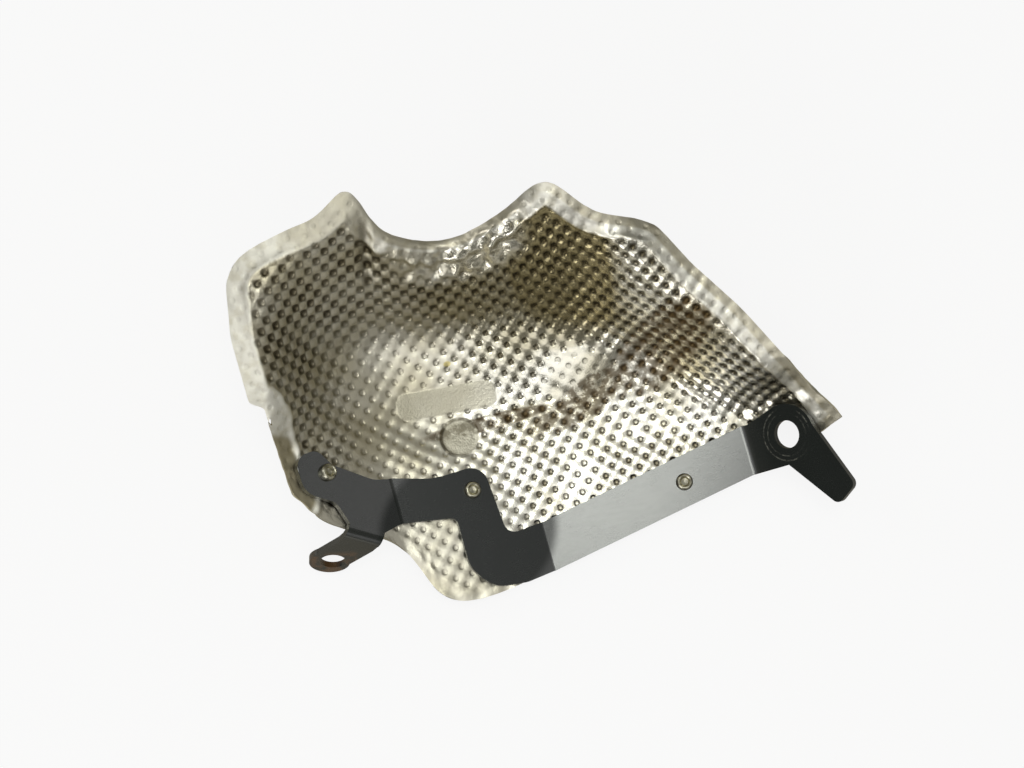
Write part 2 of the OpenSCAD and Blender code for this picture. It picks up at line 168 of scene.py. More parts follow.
# %% Take the pyramids out of the cage
def open_loops(mesh):
    """The open edges of a bmesh, in connected groups, the longest first."""
    rest, loops = {e for e in mesh.edges if e.is_boundary}, []
    while rest:
        loop, front = [], [rest.pop()]
        while front:
            edge = front.pop()
            loop.append(edge)
            for vertex in edge.verts:
                for other in vertex.link_edges:
                    if other in rest:
                        rest.remove(other)
                        front.append(other)
        loops.append(loop)
    return sorted(loops, key=len, reverse=True)


SPLIT_VALENCE = 7

for loop in open_loops(cage)[1:]:
    bmesh.ops.collapse(cage, edges=loop, uvs=False)
splits = [e for e in cage.edges if all(len(v.link_edges) >= SPLIT_VALENCE for v in e.verts)]
bmesh.ops.dissolve_edges(cage, edges=splits, use_verts=False, use_face_split=False)
inner = [v for v in cage.verts if not v.is_boundary]
bmesh.ops.smooth_vert(cage, verts=inner, factor=0.5, use_axis_x=True, use_axis_y=True,
                      use_axis_z=True)
bmesh.ops.recalc_face_normals(cage, faces=cage.faces)
triangles = [f for f in cage.faces if len(f.verts) == 3]
bmesh.ops.join_triangles(cage, faces=triangles, angle_face_threshold=math.radians(60),
                         angle_shape_threshold=math.radians(90))
bmesh.ops.recalc_face_normals(cage, faces=cage.faces)
if sum(f.normal.z for f in cage.faces) < 0:
    bmesh.ops.reverse_faces(cage, faces=cage.faces)
sides = [len(f.verts) for f in cage.faces]
print("cage faces", len(sides), "of four sides", sides.count(4))

# %% [markdown]
# The measured rim runs in short straight sides, and pressed foil turns in soft curves. So each plain
# corner of the open edge is drawn halfway to its neighbours, a few times over. The two peaks keep
# their points, and so do the square corners.

# %% Ease the corners of the rim
EASED_BENDS = (math.radians(14), math.radians(52))
EASING_ROUNDS = 3
PEAKS, PEAK_R = ((-45, 79), (30, 63)), 24


def eased_rim(mesh):
    """New places, nearer their neighbours, for the points where the open edge has a plain corner."""
    places = {}
    for vertex in mesh.verts:
        beside = [e.other_vert(vertex).co for e in vertex.link_edges if e.is_boundary]
        bend = (vertex.co - beside[0]).angle(beside[1] - vertex.co) if len(beside) == 2 else 0
        here = vertex.co.xy/MM - DATUM.xy
        on_peak = any((here - Vector(peak)).length < PEAK_R for peak in PEAKS)
        if EASED_BENDS[0] < bend < EASED_BENDS[1] and not on_peak:
            places[vertex] = vertex.co*0.5 + (beside[0] + beside[1])*0.25
    return places


for _ in range(EASING_ROUNDS):
    eased = eased_rim(cage)
    for vertex, place in eased.items():
        vertex.co = place
    print("corners eased", len(eased), "of", len(open_loops(cage)[0]), "points on the rim")

# %% [markdown]
# ## The foil, step two: where each nub lies
# The real sheet was embossed flat, on a square lattice, and pressed to shape afterwards. So its nubs
# run straight across the floor and on up the walls. We need each point's place in the flat sheet, and
# an unwrap of least stretch is just that. Its result has any size and turn, so it is fitted to the
# floor, where one millimetre of sheet is one millimetre of X or Y. An unwrap works on every selected
# mesh, so the foil is selected alone, and the measured meshes stay as they came.

# %% Unwrap the cage to the flat sheet
def as_object(mesh, name):
    """An object in the scene that holds a bmesh, with its place in its mesh."""
    data = bpy.data.meshes.new(name)
    mesh.to_mesh(data)
    mesh.free()
    piece = bpy.data.objects.new(name, data)
    bpy.context.scene.collection.objects.link(piece)
    return piece


foil = as_object(cage, "foil_shell")
bpy.ops.object.select_all(action="DESELECT")
foil.select_set(True)
bpy.context.view_layer.objects.active = foil
foil.data.uv_layers.new(name="flat_sheet")
bpy.ops.object.mode_set(mode="EDIT")
bpy.ops.mesh.select_all(action="SELECT")
bpy.ops.uv.unwrap(method="MINIMUM_STRETCH")
bpy.ops.object.mode_set(mode="OBJECT")
print("unwrapped", len(foil.data.polygons), "faces")

# %% Fit the flat sheet to the floor
FLOOR_AT, FLOOR_R = (5, -12), 32


def per_loop(mesh):
    """Arrays of a mesh's flat-sheet places and vertex numbers, one row for each face corner."""
    places = np.zeros(len(mesh.loops)*2)
    mesh.uv_layers["flat_sheet"].uv.foreach_get("vector", places)
    numbers = np.zeros(len(mesh.loops), int)
    mesh.loops.foreach_get("vertex_index", numbers)
    return places.reshape(-1, 2), numbers


def vertex_array(mesh, what):
    """Positions or normals of a mesh's vertices as an array."""
    values = np.zeros(len(mesh.vertices)*3)
    mesh.vertices.foreach_get(what, values)
    return values.reshape(-1, 3)


flat, corner_vertex = per_loop(foil.data)
spots = vertex_array(foil.data, "co")[corner_vertex]/MM - np.array(DATUM)
on_floor = np.linalg.norm(spots[:, :2] - FLOOR_AT, axis=1) < FLOOR_R
known = np.column_stack([flat[on_floor], np.ones(on_floor.sum())])
fit, misfit, _, _ = np.linalg.lstsq(known, spots[on_floor, :2], rcond=None)
sheet_place = np.column_stack([flat, np.ones(len(flat))]) @ fit
foil.data.uv_layers["flat_sheet"].uv.foreach_set("vector", sheet_place.ravel())
spread = sheet_place.max(0) - sheet_place.min(0)
misfit = np.sqrt(misfit/on_floor.sum())
print("flat sheet", spread.round(), "mm, misfit on the floor", misfit.round(2))

# %% [markdown]
# ## The foil, step three: the embossing itself
# Now the cage is subdivided twice, which gives a point about every 0.9 mm. The nubs are then pushed up
# and down along the normals. A displacement in the mesh, rather than bump alone, lets each nub shade
# and hide its neighbours, and shows on the back too. The pressing ironed the nubs flat in places: on
# the flanges, the front hem, the label pad, the round pad and the crescent bulge.

# %% Subdivide the cage
def apply_modifier(piece, kind, **settings):
    """Make one modifier of a piece real."""
    modifier = piece.modifiers.new(kind.lower(), kind)
    for setting, value in settings.items():
        setattr(modifier, setting, value)
    finished = piece.evaluated_get(bpy.context.evaluated_depsgraph_get())
    made = bpy.data.meshes.new_from_object(finished)
    piece.modifiers.clear()
    old, piece.data = piece.data, made
    bpy.data.meshes.remove(old)


apply_modifier(foil, "SUBSURF", levels=2, render_levels=2, boundary_smooth="PRESERVE_CORNERS")
print("fine mesh", len(foil.data.vertices), "points", len(foil.data.polygons), "faces")

# %% How far each point lies from the rim, on its flanged and its hemmed part
HEM_TOP_LEFT, HEM_TOP_RIGHT = 34, 20


def smooth_step(low, high, x):
    """0 at low, 1 at high, and a soft slope between; high may be the smaller of the two."""
    t = np.clip((x - low)/(high - low), 0, 1)
    return t*t*(3 - 2*t)


mesh = foil.data
spots = vertex_array(mesh, "co")/MM - np.array(DATUM)
normals = vertex_array(mesh, "normal")
flat, corner_vertex = per_loop(mesh)
sheet = np.zeros((len(spots), 2))
sheet[corner_vertex] = flat

fine = bmesh.new()
fine.from_mesh(mesh)
edge_numbers = np.array(sorted({v.index for v in fine.verts if v.is_boundary}))
fine.free()
edge_points = spots[edge_numbers]
hem_top = np.where(edge_points[:, 0] < 0, HEM_TOP_LEFT, HEM_TOP_RIGHT)
on_hem = edge_points[:, 2] < hem_top


def distance_to(points):
    """Distance of each point of the sheet to the nearest of some points, in mm."""
    tree = kdtree.KDTree(len(points))
    for number, point in enumerate(points):
        tree.insert(point, number)
    tree.balance()
    return np.array([tree.find(spot)[2] for spot in spots])


to_hem = distance_to(edge_points[on_hem])
to_flange = distance_to(edge_points[~on_hem])
print("edge points", len(edge_points), "on the hem", on_hem.sum())

# %% How far each point lies from the pads, the bulge and the notch
LABEL_AT, LABEL_SIZE, LABEL_ROUND, LABEL_TURN = (-25.2, 6.3), (39.5, 10.5), 4, -4.5
PAD_AT, PAD_R = (-24, -9.3), 7.4
BULGE_AT, BULGE_SIZE = (27, 3), (29, 19)
NOTCH_LEFT, NOTCH_RIGHT, NOTCH_FRONT = -36, 24, 42

from_label = spots[:, :2] - LABEL_AT
label_turn = math.radians(LABEL_TURN)
label_x = from_label @ (math.cos(label_turn), math.sin(label_turn))
label_y = from_label @ (-math.sin(label_turn), math.cos(label_turn))
label_out = np.hypot(np.maximum(abs(label_x) - LABEL_SIZE[0]/2 + LABEL_ROUND, 0),
                     np.maximum(abs(label_y) - LABEL_SIZE[1]/2 + LABEL_ROUND, 0)) - LABEL_ROUND
pad_out = np.linalg.norm(spots[:, :2] - PAD_AT, axis=1) - PAD_R
bulge_out = np.linalg.norm((spots[:, :2] - BULGE_AT)/BULGE_SIZE, axis=1)*2
notch = smooth_step(NOTCH_FRONT, NOTCH_FRONT + 6, spots[:, 1])
notch *= smooth_step(NOTCH_LEFT, NOTCH_LEFT + 10, spots[:, 0])
notch *= smooth_step(NOTCH_RIGHT, NOTCH_RIGHT - 10, spots[:, 0])
print("points on the label pad", (label_out < 0).sum(), "and on the round pad", (pad_out < 0).sum())

# %% [markdown]
# How strong the embossing is at each point is a product of soft steps, one for each ironed place. The
# rim of the notch was crushed as well, so its nubs give way to lumps. A sunk nub is narrower and
# deeper than a raised one, and the lattice wanders by a fraction of a millimetre, as pressed foil does.

# %% Push the nubs up and down
NUB_UP, NUB_UP_SHARP = 0.34, 1.1
NUB_DOWN, NUB_DOWN_SHARP = 0.72, 2.1
FLANGE_W, HEM_W = 7.0, 4.2
WANDER, WANDER_LUMP = 0.35, 16


def lattice(place):
    """Nubs of the square lattice: 1 on top of each raised nub, -1 in each sunk one."""
    return np.cos(math.pi*place[:, 0]/NUB_PITCH)*np.cos(math.pi*place[:, 1]/NUB_PITCH)


def noise_at(points, size, seed=0):
    """Smooth noise from about -1 to 1 whose lumps are about size mm across."""
    shift = Vector((seed*17.3, seed*5.1, seed*9.7))
    return np.array([noise.noise(Vector(p)/size + shift) for p in points])*1.6


strength = smooth_step(-0.8, 0.8, label_out)*smooth_step(-0.8, 0.6, pad_out)
strength *= smooth_step(HEM_W - 1.2, HEM_W + 1.5, to_hem)
flange_side = to_flange + 4*notch
strength *= 0.3 + 0.7*smooth_step(FLANGE_W + 1, FLANGE_W + 3.5, flange_side)
strength *= smooth_step(0.8, 2.5, to_flange)
strength *= 0.3 + 0.7*smooth_step(0.8, 1.3, bulge_out)
strength *= 0.88 + 0.24*noise_at(spots, 14, 1)
strength *= 1 - 0.4*smooth_step(-5, -35, spots[:, 0])*smooth_step(34, 18, spots[:, 2])
crushed = notch*smooth_step(2.2, 4.5, to_flange)*smooth_step(22, 13, to_flange)
strength *= 1 - 0.55*crushed

wander = np.column_stack([noise_at(spots, WANDER_LUMP, 2), noise_at(spots, WANDER_LUMP, 3)])*WANDER
egg = lattice(sheet + wander)
nubs = np.where(egg > 0, NUB_UP*abs(egg)**NUB_UP_SHARP, -NUB_DOWN*abs(egg)**NUB_DOWN_SHARP)
steep = 1 + 0.3*smooth_step(0.1, 0.45, 1 - normals[:, 2])
lift = nubs*strength*steep
print("nubs from", round(lift.min(), 2), "to", round(lift.max(), 2), "mm")

# %% Dents, folds and wrinkles of the pressing
FOLD_FROM, FOLD_TO, FOLD_DEPTH = (-37.5, 72.4, 61), (-42.8, 54, 37.5), 1.9
LABEL_GROOVE, PAD_SINK, PAD_CROWN, FLANGE_RIDGE = 0.12, 0.35, 0.3, 0.7
CRUSH_LIFT, CRUSH_LUMP = 1.35, 4.4
HEM_WRINKLE, FLANGE_RIPPLE, WAVE = 0.35, 0.18, 0.35

lift -= LABEL_GROOVE*(1 - smooth_step(0.0, 1.0, abs(label_out)))
lift -= PAD_SINK*(1 - smooth_step(-1.0, 0.8, pad_out))
lift += PAD_CROWN*(1 - smooth_step(-4, -1, pad_out))
fold_way = np.array(FOLD_TO) - np.array(FOLD_FROM)
along = np.clip(((spots - np.array(FOLD_FROM)) @ fold_way)/(fold_way @ fold_way), 0, 1)
to_fold = np.linalg.norm(spots - np.array(FOLD_FROM) - along[:, None]*fold_way, axis=1)
lift -= FOLD_DEPTH*(1 - smooth_step(0.3, 4.2, to_fold))*np.sin(math.pi*(0.12 + 0.88*along))
lift += FLANGE_RIDGE*np.exp(-((to_flange - FLANGE_W - 1)/1.3)**2)
lift += CRUSH_LIFT*crushed*noise_at(spots*(1, 1, 0.8), CRUSH_LUMP, 7)
on_the_hem = 1 - smooth_step(HEM_W - 1, HEM_W + 2, to_hem)
lift += HEM_WRINKLE*on_the_hem*noise_at(spots*(1, 1, 0.3), 5, 4)
on_the_flange = 1 - smooth_step(FLANGE_W - 2, FLANGE_W + 3, to_flange)
lift += FLANGE_RIPPLE*on_the_flange*noise_at(spots, 3.4, 5)
lift += WAVE*noise_at(spots, 30, 6)*smooth_step(2, 12, np.minimum(to_hem, to_flange))
print("with the dents", round(lift.min(), 2), "to", round(lift.max(), 2), "mm")

# %% Write the new places and the masks that the finish needs
moved = (spots + normals*lift[:, None] + np.array(DATUM))*MM
mesh.vertices.foreach_set("co", moved.ravel())
mesh.uv_layers["flat_sheet"].uv.foreach_set("vector", (sheet + wander)[corner_vertex].ravel())
for name, values in (("embossing", strength), ("from_rim", to_flange), ("from_flange", flange_side),
                     ("label_out", label_out), ("pad_out", pad_out), ("crushed", crushed),
                     ("to_fold", to_fold)):
    mesh.attributes.new(name, "FLOAT", "POINT").data.foreach_set("value", values)
mesh.update()
print("masks", [mask.name for mask in mesh.attributes if mask.data_type == "FLOAT"])

# %% Give the sheet its thickness
upper_points = len(foil.data.vertices)
apply_modifier(foil, "SOLIDIFY", thickness=SHEET_T*MM, offset=-1)
is_upper = np.arange(len(foil.data.vertices)) < upper_points
side = foil.data.attributes.new("upper_side", "FLOAT", "POINT")
side.data.foreach_set("value", is_upper.astype(float))
foil.data.shade_smooth()
foil.data.set_sharp_from_angle(angle=math.radians(60))
print("foil shell", len(foil.data.polygons), "faces, span", [round(c/MM, 1) for c in foil.dimensions])
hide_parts("shell")
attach(foil, "root")

# %% [markdown]
# ## The bracket
# The bracket is one strip of steel with folds, and the measured solid already has its true form. Only
# its edges are too sharp: a punched and painted edge has a small round on it that catches the light.
# A bevel on a merged copy gives that.

# %% Round the bracket's edges
EDGE_R = 0.3
HARD_BEND = math.radians(50)

bracket_mesh = merged_copy("bracket")
bmesh.ops.dissolve_limit(bracket_mesh, angle_limit=math.radians(0.6), verts=bracket_mesh.verts,
                         edges=bracket_mesh.edges)
hard = [e for e in bracket_mesh.edges if len(e.link_faces) == 2 and e.calc_face_angle(0) > HARD_BEND]
bmesh.ops.bevel(bracket_mesh, geom=hard, offset=EDGE_R*MM, offset_type="OFFSET", segments=2,
                profile=0.5, affect="EDGES", clamp_overlap=True, material=-1)
bracket = as_object(bracket_mesh, "steel_bracket")
bracket.data.shade_smooth()
bracket.data.set_sharp_from_angle(angle=math.radians(35))
apply_modifier(bracket, "WEIGHTED_NORMAL", keep_sharp=True)
print("bracket", len(bracket.data.polygons), "faces, rounded edges", len(hard))
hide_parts("bracket")
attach(bracket, "root")

# %% [markdown]
# ## The stage
# The shield lies on a plain pale ground, and the camera looks almost straight down on it, from a
# little in front. The ground is a hair below the lowest point, so that the two never share a plane.

# %% Plain ground
GROUND_HALF, GROUND_GAP = 3, 0.0004

floor_mesh = bmesh.new()
bmesh.ops.create_grid(floor_mesh, x_segments=1, y_segments=1, size=GROUND_HALF)
ground_at = Vector((-0.1, 0, cad_box[0].z - GROUND_GAP))
bmesh.ops.translate(floor_mesh, verts=floor_mesh.verts, vec=ground_at)
ground = as_object(floor_mesh, "ground")
print("ground at", round(ground_at.z/MM, 1), "mm")

# %% Camera
CAMERA_AZ, CAMERA_EL, CAMERA_FAR = -15.5, 84, 720
LENS_PX, IMAGE_W, IMAGE_H, IMAGE_MIDDLE_Y = 1800, 1024, 768, 400

camera = bpy.data.objects.new("camera", bpy.data.cameras.new("camera"))
bpy.context.scene.collection.objects.link(camera)
azimuth, elevation = math.radians(CAMERA_AZ), math.radians(CAMERA_EL)
back = Vector((math.sin(azimuth)*math.cos(elevation), -math.cos(azimuth)*math.cos(elevation),
               math.sin(elevation)))
camera.location = at_datum(0, 0, 0) + back*CAMERA_FAR*MM
camera.rotation_euler = (-back).to_track_quat("-Z", "Y").to_euler()
camera.data.lens = LENS_PX/IMAGE_W*camera.data.sensor_width
camera.data.shift_y = (IMAGE_MIDDLE_Y - IMAGE_H/2)/IMAGE_W
camera.data.clip_start, camera.data.clip_end = 0.01, 20
bpy.context.scene.camera = camera
bpy.context.scene.view_settings.view_transform = "Standard"
print("camera at", [round(c/MM) for c in camera.location], "mm")

# %% [markdown]
# ## Materials in plain arithmetic
# A material here is a few masks and some arithmetic on them. Wiring Math nodes by hand hides that, so
# one small class wraps a socket: adding or multiplying two of them adds the Math node. A second class
# holds the material and makes any other node from its type, its settings and its inputs.

# %% Numbers that know their node
class Number:
    """A number or colour socket of a finish. Arithmetic on it adds Math nodes."""

    def __init__(self, finish, socket):
        self.finish, self.socket = finish, socket

    def reckon(self, operation, *others):
        return self.finish.add("Math", {"operation": operation}, dict(enumerate((self, *others))))

    def __add__(self, other):
        return self.reckon("ADD", other)

    def __sub__(self, other):
        return self.reckon("SUBTRACT", other)

    def __rsub__(self, other):
        return self.finish.add("Math", {"operation": "SUBTRACT"}, {0: other, 1: self})

    def __mul__(self, other):
        return self.reckon("MULTIPLY", other)

    __radd__, __rmul__ = __add__, __mul__

    def cos(self):
        return self.reckon("COSINE")

    def clip(self):
        """The number kept between 0 and 1."""
        return self.finish.add("Clamp", {}, {"Value": self})

    def rises(self, low, high):
        """0 below low, 1 above high, and a soft slope between; high may be the smaller of the two."""
        return self.finish.add("MapRange", {"interpolation_type": "SMOOTHSTEP"},
                               {"Value": self, "From Min": low, "From Max": high})


class Finish:
    """A material under construction."""

    def __init__(self, name):
        self.material = bpy.data.materials.new(name)
        self.material.use_nodes = True
        self.tree = self.material.node_tree
        self.shader = self.tree.nodes["Principled BSDF"]
        self.here = None

    def add(self, kind, settings, inputs, out=0):
        """A new node with its settings, then its inputs. Gives one of its outputs."""
        node = self.tree.nodes.new("ShaderNode" + kind)
        for setting, value in settings.items():
            setattr(node, setting, value)
        for name, value in inputs.items():
            self.feed(node.inputs[name], value)
        return Number(self, node.outputs[out])

    def feed(self, socket, value):
        """Link a number to a socket, or write a plain value into it."""
        if isinstance(value, Number):
            self.tree.links.new(value.socket, socket)
        elif isinstance(value, tuple) and len(value) == 3 and socket.type == "RGBA":
            socket.default_value = (*value, 1)
        else:
            socket.default_value = value

    def set(self, **inputs):
        """Feed inputs of the shader, named with _ for a space."""
        for name, value in inputs.items():
            self.feed(self.shader.inputs[name.replace("_", " ")], value)

    def attribute(self, name):
        """A mask that was written on the points of the mesh."""
        return self.add("Attribute", {"attribute_name": name}, {}, "Fac")

    def place(self):
        """Object coordinates in millimetres from the datum, as a vector."""
        if self.here is None:
            raw = self.add("TexCoord", {}, {}, "Object")
            self.here = self.add("Mapping", {}, {
                "Vector": raw, "Scale": (1/MM, 1/MM, 1/MM), "Location": tuple(-DATUM)})
        return self.here

    def parts(self, vector):
        """The x, y and z of a vector as three numbers."""
        x = self.add("SeparateXYZ", {}, {0: vector})
        return [Number(self, socket) for socket in x.socket.node.outputs]

    def clouds(self, size, detail=2.0, rough=0.5, stretch=(1, 1, 1), distort=0.0):
        """Noise from 0 to 1 with lumps of about size mm."""
        spot = self.add("Mapping", {}, {"Vector": self.place(),
                                        "Scale": tuple(s/size for s in stretch)})
        return self.add("TexNoise", {}, {"Vector": spot, "Scale": 1.0, "Detail": detail,
                                         "Roughness": rough, "Distortion": distort})

    def blend(self, mask, first, second):
        """The first colour where the mask is 0, the second where it is 1."""
        return self.add("Mix", {"data_type": "RGBA"}, {0: mask, 6: first, 7: second}, 2)

    def spot(self, x, y, size_x, size_y, turn=0.0, soft=0.5):
        """1 inside an oval at a place on the floor, fading to 0 at its outline, as seen from above."""
        turned = self.add("Mapping", {"vector_type": "TEXTURE"}, {
            "Vector": self.place(), "Location": (x, y, 0), "Rotation": (0, 0, math.radians(turn)),
            "Scale": (size_x/2, size_y/2, 1)})
        across, along, _ = self.parts(turned)
        return (across*across + along*along).rises(1, soft)

    def bump(self, height, distance, strength=1.0, under=None):
        """A normal tilted by a height, distance mm deep, over another bump if one is given."""
        inputs = {"Height": height, "Distance": distance*MM, "Strength": strength}
        if under is not None:
            inputs["Normal"] = under
        return self.add("Bump", {}, inputs)

    def on(self, piece):
        """Put the finish in a piece's one material slot, which a new piece doesn't have yet."""
        if not piece.material_slots:
            piece.data.materials.append(self.material)
        piece.material_slots[0].material = self.material
        print("finish", self.material.name, "has", len(self.tree.nodes), "nodes")


# %% [markdown]
# ## The foil's finish
# Bright foil is mostly what it mirrors, so its colours are few: silver, a duller silver, the brown of
# heat and dirt in the stains, and olive browns that are painted shade on the walls, in the pits and
# valleys, and along the rim. Masks say where each lies. Some come from the mesh, such as the distance
# to the rim, and the others are ovals and bands given in millimetres from the datum.

# %% Where the foil is embossed, flanged or crushed
# OLIVE and DARK_OLIVE are painted shade: on the walls, the left side, the valley, the back wall, the
# shade spots, the upper-left peak, in the pits, the fold, the pad's groove and along the rim. RUST is
# the brown of the real stains.
SILVER, SILVER_DULL = (0.88, 0.86, 0.775), (0.72, 0.68, 0.545)
OLIVE, DARK_OLIVE = (0.38, 0.325, 0.185), (0.075, 0.06, 0.03)
RUST, YELLOW = (0.10, 0.064, 0.026), (0.72, 0.58, 0.10)
PAD_GREY, UNDER_GREY = (0.60, 0.57, 0.46), (0.52, 0.49, 0.40)

foil_finish = Finish("bright_foil")
sheet_uv = foil_finish.add("UVMap", {"uv_map": "flat_sheet"}, {})
sheet_x, sheet_y, _ = foil_finish.parts(sheet_uv)
embossing = foil_finish.attribute("embossing").clip()
from_flange, from_rim = foil_finish.attribute("from_flange"), foil_finish.attribute("from_rim")
crushed_here = foil_finish.attribute("crushed")
label_side, pad_side = foil_finish.attribute("label_out"), foil_finish.attribute("pad_out")
egg_mask = (sheet_x*(math.pi/NUB_PITCH)).cos()*(sheet_y*(math.pi/NUB_PITCH)).cos()
pits = egg_mask.rises(-0.30, -0.82)*embossing
wide_pits = egg_mask.rises(0.30, -0.32)*embossing
here_x, here_y, here_z = foil_finish.parts(foil_finish.place())
print("nodes for the masks so far", len(foil_finish.tree.nodes))

# %% Where the foil is dull or stained, and where shade is painted on it
tone = foil_finish.clouds(22, 3)
flange = from_flange.rises(9, 7.5)
wall = here_z.rises(9, 22)*(1 - flange)
left = here_x.rises(0, -35)
notch_band = here_x.rises(NOTCH_LEFT, NOTCH_LEFT + 6)*here_x.rises(NOTCH_RIGHT, NOTCH_RIGHT - 8)
notch_band = notch_band*here_y.rises(NOTCH_FRONT, NOTCH_FRONT + 6)
# Painted shade along the rim's outer edge: on the right, round the notch and at the front left.
outer_band = from_rim.rises(4.2, 3.0)*(here_x.rises(20, 45) + notch_band).clip()
low_edge = from_rim.rises(7, 5)*foil_finish.spot(-88, -12, 46, 30, 122, 0.7)
# Painted shade: in the valley where the back wall meets the floor, and on the darker parts of the right
# wall.
valley = foil_finish.spot(24, 21, 54, 17, -8)
shade = foil_finish.spot(30, 42, 42, 68, 14, 0.35) + foil_finish.spot(71, 1, 32, 36, 30, 0.3)*0.7
# Painted shade on the flange of the upper-left peak.
shaded_peak = foil_finish.spot(-50, 76, 46, 34, -20, 0.3)*flange
crease = foil_finish.spot(-12, -6.5, 60, 7, 0) + foil_finish.spot(34, -3.5, 44, 11, 14)
crease = crease + foil_finish.spot(60, 2, 50, 28, 24)*0.9
crease = (crease + foil_finish.spot(22, -11, 44, 13, 10)*0.9).clip()
stain = crease*foil_finish.clouds(3.5, 4, 0.65).rises(0.38, 0.56)
# Painted shade in the groove round the round pad, broken up by noise.
pad_line = pad_side.rises(-1.0, -0.2)*pad_side.rises(1.1, 0.4)
pad_line = pad_line*foil_finish.clouds(7, 2).rises(0.35, 0.6)
bare = (label_side.rises(0.5, -0.5) + pad_side.rises(0.5, -0.5)).clip()
print("nodes for the masks in all", len(foil_finish.tree.nodes))

# %% Colour, shine and fine bumps of the foil
base = foil_finish.blend(tone.rises(0.35, 0.7)*(1 - flange), SILVER, SILVER_DULL)
# Painted shade: the walls, the left side and the valley go olive, the middle of the back wall, the
# shade spots and the upper-left peak more so, and the sunk nubs and the walls' pits dark olive.
back_wall = wall*here_x.rises(-45, -15)*here_x.rises(58, 44)*(1 - crushed_here)
base = foil_finish.blend((wall*0.12 + left*0.3 + valley*0.4).clip()*(1 - flange), base, OLIVE)
shaded = (back_wall*0.75 + shade*0.65).clip()*(1 - crushed_here)*(1 - flange)
base = foil_finish.blend(shaded + shaded_peak*0.4, base, OLIVE)
base = foil_finish.blend(wall*wide_pits*(1 - crushed_here)*0.85, base, DARK_OLIVE)
base = foil_finish.blend(pits*(0.3 + (1 - left)*0.6), base, DARK_OLIVE)
base = foil_finish.blend(crease*wide_pits*0.75, base, RUST)
base = foil_finish.blend(stain*0.75, base, RUST)
# Painted shade along the fold in the back-left wall.
fold_line = foil_finish.attribute("to_fold").rises(2.4, 0.6)
base = foil_finish.blend(fold_line*0.6, base, DARK_OLIVE)
base = foil_finish.blend(flange*foil_finish.clouds(5, 3).rises(0.45, 0.65)*0.5, base, SILVER_DULL)
# Painted shade along the rim's outer edge.
base = foil_finish.blend(outer_band*0.5 + low_edge*0.8, base, OLIVE)
base = foil_finish.blend(bare*0.7, base, PAD_GREY)
# Painted shade in the groove round the round pad.
base = foil_finish.blend(pad_line*0.8, base, DARK_OLIVE)
base = foil_finish.blend(foil_finish.spot(-21.2, 19.8, 3.4, 2.4)*0.6, base, YELLOW)

upper_side = foil_finish.attribute("upper_side").rises(0.35, 0.65)
under = foil_finish.blend(tone.rises(0.35, 0.7), SILVER_DULL, UNDER_GREY)
base = foil_finish.blend(upper_side, under, base)

rough = 0.18 + tone*0.12 + stain*0.3 + flange*0.16 + left*0.16 + bare*0.16
grain = foil_finish.clouds(0.9, 3, 0.6)
pad_grain = foil_finish.clouds(0.8, 2, 0.5)
creases = foil_finish.clouds(2.6, 3, 0.6, distort=0.8)
pit_height = egg_mask.rises(-0.35, -0.85)*embossing*upper_side*(-1)
fine_bump = foil_finish.bump(pit_height, 0.24, 1.0)
fine_bump = foil_finish.bump(grain, 0.04, 0.6, fine_bump)
fine_bump = foil_finish.bump(creases*(0.3 + wall*0.7), 0.34, 0.8, fine_bump)
fine_bump = foil_finish.bump(pad_grain*bare, 0.2, 1.0, fine_bump)
foil_finish.set(Base_Color=base, Metallic=1.0, Roughness=rough, Normal=fine_bump)
foil_finish.on(foil)

# %% [markdown]
# ## Paint, plating and ground
# The bracket's black paint shows rings that a bolt's head rubbed round the hole, and rust on the bent
# ear. Its clear gloss is thinner on the knee and at the far end. The rivets are zinc plated. The
# ground is white for the camera. What the foil mirrors of it is a painted reflection: a brown glow,
# darker near the part as a painted shadow of the shield.

# %% The bracket's finish
BLACK, BARE_STEEL, EAR_RUST = (0.009, 0.012, 0.011), (0.36, 0.35, 0.30), (0.11, 0.05, 0.018)

paint = Finish("worn_black_paint")
paint_x, _, paint_z = paint.parts(paint.place())
paint_noise = paint.clouds(12, 4)
ring_spot = paint.add("VectorMath", {"operation": "DISTANCE"},
                      {0: paint.place(), 1: tuple(-DATUM)}, "Value")
rings = ring_spot.rises(10.0, 10.3)*ring_spot.rises(10.8, 10.5)
rings = rings + ring_spot.rises(8.2, 8.4)*ring_spot.rises(8.9, 8.7)*0.6
scratches = rings*paint.clouds(9, 2, 0.5).rises(0.45, 0.7)*paint.clouds(1, 2).rises(0.3, 0.7)
ear_rust = paint.spot(-84, -44, 24, 16)*paint_z.rises(17, 12)
painted = paint.blend(scratches*0.45, BLACK, BARE_STEEL)
painted = paint.blend(ear_rust*paint.clouds(6, 3).rises(0.42, 0.62)*0.8, painted, EAR_RUST)
paint_grain = paint.clouds(0.7, 3, 0.6, stretch=(0.25, 1, 1))
brushed = paint.clouds(1.6, 4, 0.7, stretch=(0.3, 1, 1))
knee = paint.spot(-30, -46, 74, 66, 0, 0.75)
far_end = paint_x.rises(86, 94)
gloss = (1 - knee)*(1 - far_end*0.85)*(0.8 + brushed*0.35).clip()
paint.set(Base_Color=painted, Roughness=0.16 + paint_noise*0.12 + paint_grain*0.08,
          Coat_Weight=gloss, Coat_Roughness=0.16, Coat_IOR=1.72,
          Normal=paint.bump(paint_grain, 0.02, 0.6))
paint.on(bracket)

# %% The rivets' finish
ZINC, ZINC_DULL = (0.58, 0.56, 0.45), (0.34, 0.32, 0.24)

